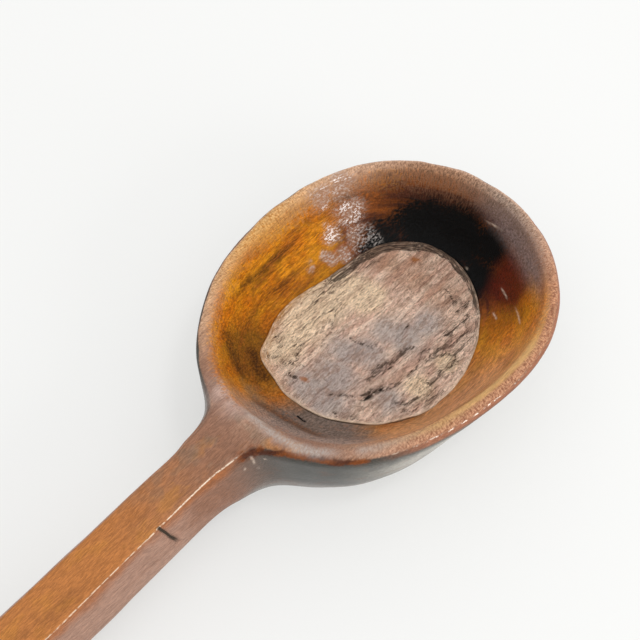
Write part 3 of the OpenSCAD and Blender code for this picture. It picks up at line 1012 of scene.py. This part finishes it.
def polished_wood(grain, hatch, cut_mark, old_wood):
    """The hollow's dark polish over old wood: amber and umber streaks, scorched at the far end, with painted glints,
    painted sheen, painted shade low on the wall and a painted highlight by the rim.
    """
    material, tree, shader = new_material("polished_wood", specular=0.12)
    colour, roughness, coat, height = placed(tree, old_wood)
    streaks, fibres, mottle = placed(tree, grain, Streak=5.5)
    lines = placed(tree, hatch)["Hatch"]
    lip_in, level, place = stored(tree, "lip"), stored(tree, "level"), place_mm(tree)
    x, y, z = add(tree, "ShaderNodeSeparateXYZ", {0: place}).outputs
    ring_place = add(tree, "ShaderNodeCombineXYZ", {0: times(tree, x, 0.03), 1: times(tree, lip_in, 0.3),
                                                    2: times(tree, y, 0.02)}).outputs[0]
    rings = noise(tree, ring_place, detail=4.0, roughness=0.62, distortion=0.3)
    off = about_zero(tree, mottle, 1.0)
    wall = blended(tree, step(tree, mottle, 0.3, 0.7), paint("#b8660a"), paint("#d48c16"))
    pale_wall = times(tree, step(tree, stored(tree, "pale_wall"), 0.1, 0.8), 0.75)
    wall = blended(tree, pale_wall, wall, paint("#cb9872"))
    # Painted shade low on the wall, by the neck and on the right
    low_wall_shade = sums(tree, "ADD", stored(tree, "low_wall_shade"), times(tree, off, 0.5))
    wall = blended(tree, times(tree, step(tree, low_wall_shade, 0.2, 0.9), 0.75), wall, paint("#5e3c14"))
    wall = blended(tree, times(tree, step(tree, level, 0.7, 1.0), 0.3), wall, paint("#6b4412"))
    damp = sums(tree, "ADD", stored(tree, "damp"), times(tree, off, 0.8))
    wall = blended(tree, times(tree, step(tree, damp, 0.3, 0.9), 0.6), wall, paint("#7a5748"))
    wall = blended(tree, times(tree, step(tree, rings, 0.5, 0.7), 0.5), wall, paint("#7a430f"))
    flecks = noise(tree, stretched(tree, place, (3.8, 0.8, 0.8)), detail=2.0, roughness=0.6)
    flecks = step(tree, flecks, 0.36, 0.64)
    dark = sums(tree, "ADD", stored(tree, "streak"), about_zero(tree, rings, 0.5))
    dark = times(tree, step(tree, dark, 0.05, 1.0), sums(tree, "MULTIPLY_ADD", flecks, -0.3, 1.0), 0.95)
    wall = blended(tree, dark, wall, paint("#4d2a08"))
    cool = sums(tree, "ADD", stored(tree, "cool"), times(tree, off, 0.7))
    grey = blended(tree, step(tree, lip_in, 1.0, 9.0), paint("#a08a7e"), paint("#76665c"))
    wall = blended(tree, step(tree, cool, 0.2, 0.75), wall, grey)
    crease = sums(tree, "ADD", stored(tree, "crease"), about_zero(tree, flecks, 0.4))
    wall = blended(tree, times(tree, step(tree, crease, 0.0, 1.1), 0.7), wall, paint("#66422a"))
    ragged = sums(tree, "ADD", times(tree, off, 0.35), about_zero(tree, rings, 0.6))
    scorch = sums(tree, "ADD", stored(tree, "scorch"), ragged)
    scorch = sums(tree, "ADD", scorch, about_zero(tree, flecks, 0.18))
    singed = blended(tree, step(tree, rings, 0.42, 0.6), paint("#4a2414"), paint("#864818"))
    wall = blended(tree, step(tree, scorch, 0.02, 0.36), wall, singed)
    wall = blended(tree, step(tree, scorch, 0.36, 0.78), wall, paint("#030303"))
    rust = sums(tree, "ADD", stored(tree, "rust"), times(tree, off, 0.4))
    wall = blended(tree, times(tree, step(tree, rust, 0.25, 0.8), 0.9), wall, paint("#541a0a"))
    # Painted sheen: grey-lilac on the upper right wall
    painted_sheen = sums(tree, "ADD", stored(tree, "painted_sheen"), times(tree, ragged, 0.4))
    wall = blended(tree, times(tree, step(tree, painted_sheen, 0.2, 0.85), 0.9), wall, paint("#7d6c68"))
    grit = noise(tree, stretched(tree, place, (1.3, 0.6, 0.6)), detail=2.0, roughness=0.7)
    wall = varied(tree, varied(tree, wall, flecks, 0.55), fibres, 0.35)
    wall = varied(tree, wall, step(tree, grit, 0.3, 0.7), 0.4)
    broad = stored(tree, "broad_rim")
    raggedness = sums(tree, "MULTIPLY_ADD", broad, 1.5, 3.0)
    rim_end = sums(tree, "MULTIPLY_ADD", sums(tree, "SUBTRACT", lines, 0.5), raggedness, lip_in)
    in_hollow = step(tree, sums(tree, "MULTIPLY_ADD", broad, -2.0, rim_end), -3.6, 2.4)
    colour = blended(tree, in_hollow, colour, wall)
    # Painted highlight: over the glint patches, a mauve haze and pale flecks paint glints beside the coat's real
    # ones
    glint_patch = step(tree, stored(tree, "glint_patch"), 0.0, 0.6)
    colour = blended(tree, times(tree, glint_patch, step(tree, scorch, 0.7, 0.3), 0.7), colour, paint("#a27c66"))
    dimples = noise(tree, stretched(tree, place, (1.1, 0.7, 0.7)), detail=1.5, roughness=0.5)
    colour = blended(tree, times(tree, glint_patch, step(tree, dimples, 0.42, 0.7), 0.45), colour, paint("#d6c8be"))
    # Painted highlight along the rim's inner edge, by the neck and on the near side
    highlight_colour = blended(tree, step(tree, stored(tree, "tan"), 0.4, 0.8), paint("#b5aaa2"), paint("#d2ab72"))
    colour = blended(tree, times(tree, stored(tree, "highlight_band"), sums(tree, "MULTIPLY_ADD", lines, 0.5, 0.45)), colour, highlight_colour)
    colour = blended(tree, times(tree, stored(tree, "scratch"), 0.75), colour, paint("#d8c2ae"))
    colour = blended(tree, placed(tree, cut_mark)["Mask"], colour, paint("#14100e"))
    matt = times(tree, stored(tree, "cool"), 0.5)
    gloss = sums(tree, "ADD", sums(tree, "MULTIPLY_ADD", mottle, 0.25, 0.22), matt)
    roughness = add(tree, "ShaderNodeMix", {0: in_hollow, 2: roughness, 3: gloss}).outputs[0]
    glints = times(tree, step(tree, dimples, 0.47, 0.6), step(tree, stored(tree, "glint_patch"), 0.05, 0.6))
    coat = sums(tree, "MAXIMUM", coat, glints)
    height = sums(tree, "ADD", height, times(tree, flecks, in_hollow, 0.4))
    finish(tree, shader, colour, roughness, height, 0.35, coat)
    return material


def handle_wood(cut_mark, old_wood):
    material, tree, shader = new_material("handle_wood", specular=0.12)
    colour, roughness, coat, height = placed(tree, old_wood)
    colour = blended(tree, placed(tree, cut_mark)["Mask"], colour, paint("#3b3025"))
    finish(tree, shader, colour, roughness, height, 0.35, coat)
    return material


def bare_wood(grain):
    """Torn bare wood, cream at its sides and grey in the middle, with dark folds and cracks."""
    material, tree, shader = new_material("bare_wood", specular=0.25)
    streaks, fibres, mottle = placed(tree, grain, Streak=3.0, Waviness=8.0)
    place = place_mm(tree)
    off = about_zero(tree, mottle, 1.0)
    colour = blended(tree, step(tree, streaks, 0.35, 0.65), paint("#d4ad98"), paint("#f4d7c0"))
    ruddy = times(tree, stored(tree, "ruddy"), step(tree, mottle, 0.2, 0.6), 0.65)
    colour = blended(tree, ruddy, colour, paint("#b07c58"))
    cream = step(tree, sums(tree, "ADD", stored(tree, "cream"), off), 0.0, 0.7)
    colour = blended(tree, times(tree, cream, 0.8), colour, paint("#f9dfbb"))
    grey = step(tree, sums(tree, "ADD", stored(tree, "grey"), times(tree, off, 1.4)), 0.0, 0.9)
    colour = blended(tree, times(tree, grey, 0.8), colour, paint("#b0a7a2"))
    cloudy = noise(tree, stretched(tree, place, (7, 4, 4)), detail=5.0, roughness=0.7)
    colour = blended(tree, times(tree, step(tree, cloudy, 0.5, 0.62), 0.4), colour, paint("#9c745c"))
    threads = noise(tree, stretched(tree, place, (4.5, 0.5, 0.5)), detail=3.0, roughness=0.65, distortion=1.7)
    grit = noise(tree, stretched(tree, place, (1.3, 0.5, 0.5)), detail=3.0, roughness=0.7, distortion=1.4)
    colour = varied(tree, colour, step(tree, grit, 0.34, 0.66), 0.5)
    strokes = times(tree, step(tree, threads, 0.53, 0.61), sums(tree, "MULTIPLY_ADD", grey, -0.2, 0.62))
    colour = blended(tree, strokes, colour, paint("#6d4a36"))
    folds = noise(tree, stretched(tree, place, (7, 2.2, 2.2)), detail=2.5, roughness=0.6, distortion=2.0)
    folds = step(tree, sums(tree, "ABSOLUTE", sums(tree, "SUBTRACT", folds, 0.5)), 0.02, 0.002)
    wrinkled = sums(tree, "MULTIPLY_ADD", stored(tree, "wrinkled"), 0.7, 0.25)
    folds = times(tree, folds, wrinkled, step(tree, grit, 0.3, 0.5))
    colour = blended(tree, folds, colour, paint("#38261b"))
    edge_place = add(tree, "ShaderNodeCombineXYZ", {0: times(tree, stored(tree, "around"), 0.3),
                                                    1: times(tree, stored(tree, "from_edge"), 2.2)}).outputs[0]
    fray = noise(tree, edge_place, detail=3.0, roughness=0.65, distortion=0.6)
    torn_colour = blended(tree, step(tree, fray, 0.42, 0.62), paint("#150e09"), paint("#77614f"))
    torn = sums(tree, "MULTIPLY_ADD", sums(tree, "SUBTRACT", 0.5, fray), 3.0, stored(tree, "torn"))
    colour = blended(tree, times(tree, step(tree, torn, 0.3, 0.8), 0.9), colour, torn_colour)
    colour = blended(tree, times(tree, stored(tree, "pale_edge"), 0.8), colour, paint("#f0d6b8"))
    tinted = times(tree, stored(tree, "tinted"), step(tree, fray, 0.68, 0.44), 0.95)
    colour = blended(tree, tinted, colour, paint("#b87c34"))
    amber = sums(tree, "ADD", stored(tree, "amber"), about_zero(tree, threads, 1.2))
    colour = blended(tree, times(tree, step(tree, amber, 0.1, 1.0), 0.85), colour, paint("#a8642e"))
    shadow = times(tree, stored(tree, "shadow"), step(tree, threads, 0.3, 0.6), 0.45)
    colour = blended(tree, shadow, colour, paint("#5e4a3c"))
    crack = sums(tree, "ADD", stored(tree, "crack"), about_zero(tree, threads, 2.2))
    colour = blended(tree, times(tree, step(tree, crack, 0.28, 0.52), 0.8), colour, paint("#3a281c"))
    colour = blended(tree, step(tree, crack, 0.76, 0.92), colour, paint("#060504"))
    height = sums(tree, "SUBTRACT", sums(tree, "SUBTRACT", grit, strokes), folds)
    finish(tree, shader, colour, sums(tree, "MULTIPLY_ADD", mottle, 0.2, 0.7), height, 0.2)
    return material


# Table, light and air

def table_top():
    mesh = bpy.data.meshes.new("table")
    table = bmesh.new()
    bmesh.ops.create_grid(table, x_segments=1, y_segments=1, size=3)
    table.to_mesh(mesh)
    table.free()
    piece = bpy.data.objects.new("table", mesh)
    bpy.context.scene.collection.objects.link(piece)
    material, tree, shader = new_material("table_white", specular=0.1)
    white, half = paint("#f1f1ef"), 0.5
    share = times(tree, seen_by_eye(tree), half)
    base = blended(tree, share, white, (0, 0, 0, 1))
    tree.links.new(base, shader.inputs["Base Color"])
    shader.inputs["Emission Color"].default_value = white
    tree.links.new(share, shader.inputs["Emission Strength"])
    shader.inputs["Roughness"].default_value = 0.9
    mesh.materials.append(material)


def seen_by_eye(tree):
    """1 for what the camera sees, straight or mirrored in a polished surface."""
    path = add(tree, "ShaderNodeLightPath").outputs
    straight = sums(tree, "MAXIMUM", path["Is Camera Ray"], path["Is Glossy Ray"])
    return sums(tree, "MAXIMUM", straight, path["Is Transmission Ray"])


def air():
    world = bpy.data.worlds.new("air")
    world.use_nodes = True
    background = world.node_tree.nodes["Background"]
    background.inputs["Color"].default_value = (0.985, 0.99, 1, 1)
    background.inputs["Strength"].default_value = 0.95
    bpy.context.scene.world = world


def lamp(name, place, size, power, colour=(1, 1, 1)):
    """Soft rectangular lamp that shines at the bowl."""
    light = bpy.data.lights.new(name, "AREA")
    light.shape = "RECTANGLE"
    light.size, light.size_y = size
    light.energy = power
    light.color = colour
    piece = bpy.data.objects.new(name, light)
    piece.location = place
    piece.rotation_euler = (-Vector(place)).to_track_quat("-Z", "Y").to_euler()
    bpy.context.scene.collection.objects.link(piece)


# The ladle
skin = whole_skin()
smooth(skin.data)
carve(skin)
smooth(skin.data)
seam_normals(skin.data)
bowl = cut_at_neck(skin, "carved_bowl", True)
shank = cut_at_neck(skin, "carved_handle", False)
removed(skin)
rough_floor = floor_piece()
smooth(rough_floor.data)

grain, hatch, cut_mark = grain_group(), hatch_group(), cut_mark_group()
old_wood = old_wood_group(grain, hatch)
pieces = (
    (bowl, "bowl", "polished_wood", polished_wood(grain, hatch, cut_mark, old_wood)),
    (shank, "handle", "handle_wood", handle_wood(cut_mark, old_wood)),
    (rough_floor, "bowl_floor", "bare_wood", bare_wood(grain)),
)
for piece, node, slot, material in pieces:
    piece.data.materials.clear()
    piece.data.materials.append(material)
    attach(piece, "root")
    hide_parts(node)

set_up_camera()
table_top()
air()
lamp("far_window", (0.6, 0.68, 0.45), (1.0, 0.6), 1.2)
lamp("near_window", (0.13, -0.98, 0.37), (0.6, 0.35), 3.6)
lamp("high_window", (0.26, -0.24, 0.94), (0.18, 0.18), 1.0)
bpy.context.scene.view_settings.view_transform = "Standard"
